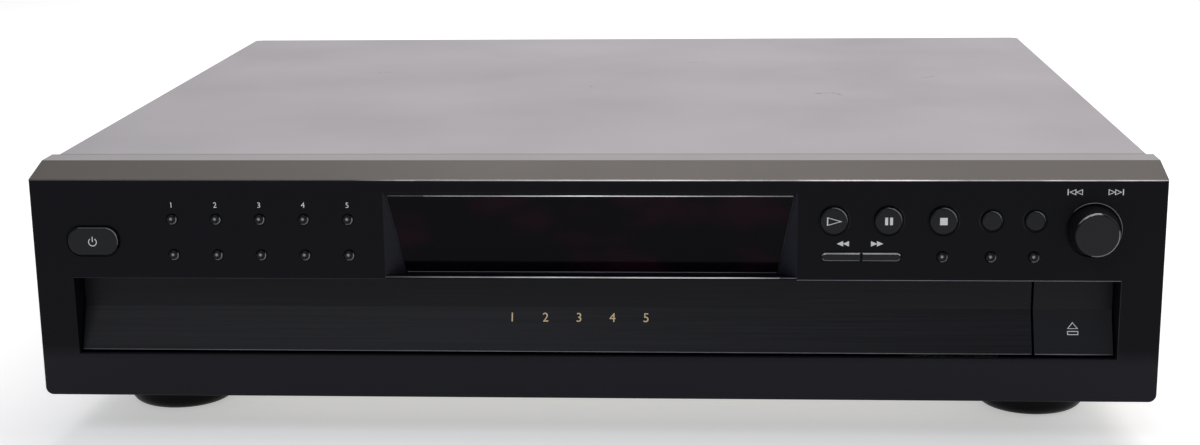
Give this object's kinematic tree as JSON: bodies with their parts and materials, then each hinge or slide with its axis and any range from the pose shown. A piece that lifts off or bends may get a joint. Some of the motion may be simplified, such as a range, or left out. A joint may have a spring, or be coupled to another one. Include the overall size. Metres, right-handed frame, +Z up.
{
  "type": "disc changer",
  "caption": "Table-top optical disc changer with a carousel on a sliding drawer, a display window, rows of push buttons and a turning push knob.",
  "frame": {"origin": "centre of the footprint, on the floor the feet stand on", "axes": "+X to the right as seen from the front, +Y to the rear, +Z up"},
  "size_m": [0.43, 0.387, 0.11],
  "materials": {
    "cover_paint": "satin lilac-grey enamel on sheet steel",
    "panel_black": "fine matt black moulding",
    "drawer_grey": "dark grey with a fine horizontal brushing",
    "window_tint": "dark smoked gloss",
    "button_black": "satin bluish black",
    "knob_black": "satin with a ribbed rim",
    "foot_black": "satin black moulding",
    "zinc_steel": "plated sheet steel",
    "screw_black": "blackened steel",
    "tray_black": "matt black moulding",
    "carousel_grey": "matt charcoal moulding",
    "gear_white": "natural acetal",
    "unit_steel": "plated steel",
    "motor_can": "drawn steel can",
    "belt_rubber": "matt",
    "pickup_black": "matt moulding with a clear lens",
    "board_green": "lacquered board with parts",
    "display_glass": "clear tube",
    "transformer_steel": "varnished laminations",
    "jack_black": "moulded block with plated sleeves",
    "clamper_black": "moulded puck"
  },
  "bodies": {
    "root": {"top_cover": "cover_paint", "display_window": "window_tint", "front_panel": "panel_black", "base_chassis": "zinc_steel", "rear_panel": "zinc_steel", "feet": "foot_black", "case_screws": "screw_black", "panel_board": "board_green", "display_tube": "display_glass", "main_board": "board_green", "power_transformer": "transformer_steel", "output_jacks": "jack_black", "cord_gland": "jack_black", "deck_frame": "tray_black", "loading_motor": "motor_can", "loading_belt": "belt_rubber", "clamper_bridge": "zinc_steel"},
    "tray": {"tray": "tray_black", "drawer_front": "drawer_grey", "table_motor": "motor_can", "table_belt": "belt_rubber", "hub_screw": "zinc_steel"},
    "carousel": {"carousel": "carousel_grey"},
    "unit": {"unit_holder": "tray_black", "optical_base": "unit_steel", "unit_motors": "motor_can"},
    "encoder_shaft": {"encoder_shaft": "unit_steel"},
    "knob": {"knob": "knob_black"},
    "pickup": {"pickup": "pickup_black"},
    "turntable": {"turntable": "unit_steel"},
    "clamper": {"clamper": "clamper_black"},
    "open_close_button": {"open_close_button": "drawer_grey"},
    "play_button": {"play_button": "button_black"},
    "disc_1_button": {"disc_1_button": "button_black"},
    "power_button": {"power_button": "button_black"},
    "rewind_button": {"rewind_button": "button_black"},
    "disc_2_button": {"disc_2_button": "button_black"},
    "disc_3_button": {"disc_3_button": "button_black"},
    "disc_4_button": {"disc_4_button": "button_black"},
    "disc_5_button": {"disc_5_button": "button_black"},
    "mode_button": {"mode_button": "button_black"},
    "peak_button": {"peak_button": "button_black"},
    "fader_button": {"fader_button": "button_black"},
    "repeat_button": {"repeat_button": "button_black"},
    "time_button": {"time_button": "button_black"},
    "edit_button": {"edit_button": "button_black"},
    "check_button": {"check_button": "button_black"},
    "clear_button": {"clear_button": "button_black"},
    "pause_button": {"pause_button": "button_black"},
    "stop_button": {"stop_button": "button_black"},
    "disc_swap_button": {"disc_swap_button": "button_black"},
    "disc_skip_button": {"disc_skip_button": "button_black"},
    "forward_button": {"forward_button": "button_black"},
    "loading_drive_gear": {"loading_drive_gear": "gear_white"},
    "loading_pulley_gear": {"loading_pulley_gear": "gear_white"},
    "loading_motor_pulley": {"loading_motor_pulley": "gear_white"},
    "table_gear": {"table_gear": "gear_white"},
    "table_motor_pulley": {"table_motor_pulley": "gear_white"},
    "sled_gear": {"sled_gear": "gear_white"},
    "lift_cam": {"lift_cam": "gear_white"}
  },
  "joints": [
    {"name": "tray_slide", "type": "slide", "parent": "root", "child": "tray", "axis": [0, -1, 0], "range_m": [0, 0.235]},
    {"name": "carousel_spin", "type": "hinge", "parent": "tray", "child": "carousel", "pos_m": [-0.01588, -0.003, 0.05], "axis": [0, 0, 1], "continuous": true},
    {"name": "unit_lift", "type": "slide", "parent": "root", "child": "unit", "axis": [0, 0, 1], "range_m": [0, 0.0095]},
    {"name": "knob_turn", "type": "hinge", "parent": "root", "child": "encoder_shaft", "pos_m": [0.1883, -0.185, 0.0866], "axis": [0, -1, 0], "continuous": true},
    {"name": "knob_push", "type": "slide", "parent": "encoder_shaft", "child": "knob", "axis": [0, 1, 0], "range_m": [0, 0.0008], "stiffness_N_per_m": 400, "springref_m": -0.0005},
    {"name": "pickup_slide", "type": "slide", "parent": "unit", "child": "pickup", "axis": [0, 1, 0], "range_m": [0, 0.034]},
    {"name": "turntable_spin", "type": "hinge", "parent": "unit", "child": "turntable", "pos_m": [-0.01588, 0.1005, 0.043], "axis": [0, 0, 1], "continuous": true},
    {"name": "clamper_spin", "type": "hinge", "parent": "root", "child": "clamper", "pos_m": [-0.01588, 0.1005, 0.058], "axis": [0, 0, 1], "continuous": true},
    {"name": "open_close_press", "type": "slide", "parent": "root", "child": "open_close_button", "axis": [0, 1, 0], "range_m": [0, 0.0008], "stiffness_N_per_m": 400, "springref_m": -0.0005},
    {"name": "play_press", "type": "slide", "parent": "root", "child": "play_button", "axis": [0, 1, 0], "range_m": [0, 0.0008], "stiffness_N_per_m": 400, "springref_m": -0.0005},
    {"name": "disc_1_press", "type": "slide", "parent": "root", "child": "disc_1_button", "axis": [0, 1, 0], "range_m": [0, 0.0008], "stiffness_N_per_m": 400, "springref_m": -0.0005},
    {"name": "power_press", "type": "slide", "parent": "root", "child": "power_button", "axis": [0, 1, 0], "range_m": [0, 0.0008], "stiffness_N_per_m": 400, "springref_m": -0.0005},
    {"name": "rewind_press", "type": "slide", "parent": "root", "child": "rewind_button", "axis": [0, 1, 0], "range_m": [0, 0.0008], "stiffness_N_per_m": 400, "springref_m": -0.0005},
    {"name": "disc_2_press", "type": "slide", "parent": "root", "child": "disc_2_button", "axis": [0, 1, 0], "range_m": [0, 0.0008], "stiffness_N_per_m": 400, "springref_m": -0.0005},
    {"name": "disc_3_press", "type": "slide", "parent": "root", "child": "disc_3_button", "axis": [0, 1, 0], "range_m": [0, 0.0008], "stiffness_N_per_m": 400, "springref_m": -0.0005},
    {"name": "disc_4_press", "type": "slide", "parent": "root", "child": "disc_4_button", "axis": [0, 1, 0], "range_m": [0, 0.0008], "stiffness_N_per_m": 400, "springref_m": -0.0005},
    {"name": "disc_5_press", "type": "slide", "parent": "root", "child": "disc_5_button", "axis": [0, 1, 0], "range_m": [0, 0.0008], "stiffness_N_per_m": 400, "springref_m": -0.0005},
    {"name": "mode_press", "type": "slide", "parent": "root", "child": "mode_button", "axis": [0, 1, 0], "range_m": [0, 0.0008], "stiffness_N_per_m": 400, "springref_m": -0.0005},
    {"name": "peak_press", "type": "slide", "parent": "root", "child": "peak_button", "axis": [0, 1, 0], "range_m": [0, 0.0008], "stiffness_N_per_m": 400, "springref_m": -0.0005},
    {"name": "fader_press", "type": "slide", "parent": "root", "child": "fader_button", "axis": [0, 1, 0], "range_m": [0, 0.0008], "stiffness_N_per_m": 400, "springref_m": -0.0005},
    {"name": "repeat_press", "type": "slide", "parent": "root", "child": "repeat_button", "axis": [0, 1, 0], "range_m": [0, 0.0008], "stiffness_N_per_m": 400, "springref_m": -0.0005},
    {"name": "time_press", "type": "slide", "parent": "root", "child": "time_button", "axis": [0, 1, 0], "range_m": [0, 0.0008], "stiffness_N_per_m": 400, "springref_m": -0.0005},
    {"name": "edit_press", "type": "slide", "parent": "root", "child": "edit_button", "axis": [0, 1, 0], "range_m": [0, 0.0008], "stiffness_N_per_m": 400, "springref_m": -0.0005},
    {"name": "check_press", "type": "slide", "parent": "root", "child": "check_button", "axis": [0, 1, 0], "range_m": [0, 0.0008], "stiffness_N_per_m": 400, "springref_m": -0.0005},
    {"name": "clear_press", "type": "slide", "parent": "root", "child": "clear_button", "axis": [0, 1, 0], "range_m": [0, 0.0008], "stiffness_N_per_m": 400, "springref_m": -0.0005},
    {"name": "pause_press", "type": "slide", "parent": "root", "child": "pause_button", "axis": [0, 1, 0], "range_m": [0, 0.0008], "stiffness_N_per_m": 400, "springref_m": -0.0005},
    {"name": "stop_press", "type": "slide", "parent": "root", "child": "stop_button", "axis": [0, 1, 0], "range_m": [0, 0.0008], "stiffness_N_per_m": 400, "springref_m": -0.0005},
    {"name": "disc_swap_press", "type": "slide", "parent": "root", "child": "disc_swap_button", "axis": [0, 1, 0], "range_m": [0, 0.0008], "stiffness_N_per_m": 400, "springref_m": -0.0005},
    {"name": "disc_skip_press", "type": "slide", "parent": "root", "child": "disc_skip_button", "axis": [0, 1, 0], "range_m": [0, 0.0008], "stiffness_N_per_m": 400, "springref_m": -0.0005},
    {"name": "forward_press", "type": "slide", "parent": "root", "child": "forward_button", "axis": [0, 1, 0], "range_m": [0, 0.0008], "stiffness_N_per_m": 400, "springref_m": -0.0005},
    {"name": "loading_drive_gear_spin", "type": "hinge", "parent": "root", "child": "loading_drive_gear", "pos_m": [0.14113, -0.15, 0.034], "axis": [0, 0, 1], "continuous": true},
    {"name": "loading_pulley_gear_spin", "type": "hinge", "parent": "root", "child": "loading_pulley_gear", "pos_m": [0.12034, -0.138, 0.032], "axis": [0, 0, 1], "continuous": true},
    {"name": "loading_motor_pulley_spin", "type": "hinge", "parent": "root", "child": "loading_motor_pulley", "pos_m": [0.08234, -0.138, 0.035], "axis": [0, 0, 1], "continuous": true},
    {"name": "table_gear_spin", "type": "hinge", "parent": "tray", "child": "table_gear", "pos_m": [-0.05595, 0.02691, 0.042], "axis": [0, 0, 1], "continuous": true},
    {"name": "table_motor_pulley_spin", "type": "hinge", "parent": "tray", "child": "table_motor_pulley", "pos_m": [-0.15388, 0.1, 0.038], "axis": [0, 0, 1], "continuous": true},
    {"name": "sled_gear_spin", "type": "hinge", "parent": "unit", "child": "sled_gear", "pos_m": [-0.04188, 0.1325, 0.033], "axis": [0, 0, 1], "continuous": true},
    {"name": "lift_cam_slide", "type": "slide", "parent": "root", "child": "lift_cam", "axis": [0, -1, 0], "range_m": [0, 0.019]}
  ],
  "couplings": [
    {"joint": "clamper_spin", "follows": "turntable_spin", "ratio": 1},
    {"joint": "loading_drive_gear_spin", "follows": "tray_slide", "rad_per_m": -111.11},
    {"joint": "loading_pulley_gear_spin", "follows": "tray_slide", "rad_per_m": 333.33},
    {"joint": "loading_motor_pulley_spin", "follows": "tray_slide", "rad_per_m": 833.33},
    {"joint": "table_gear_spin", "follows": "carousel_spin", "ratio": -3.1667},
    {"joint": "table_motor_pulley_spin", "follows": "carousel_spin", "ratio": -7.125},
    {"joint": "sled_gear_spin", "follows": "pickup_slide", "rad_per_m": 125},
    {"joint": "lift_cam_slide", "follows": "unit_lift", "ratio": 2}
  ]
}
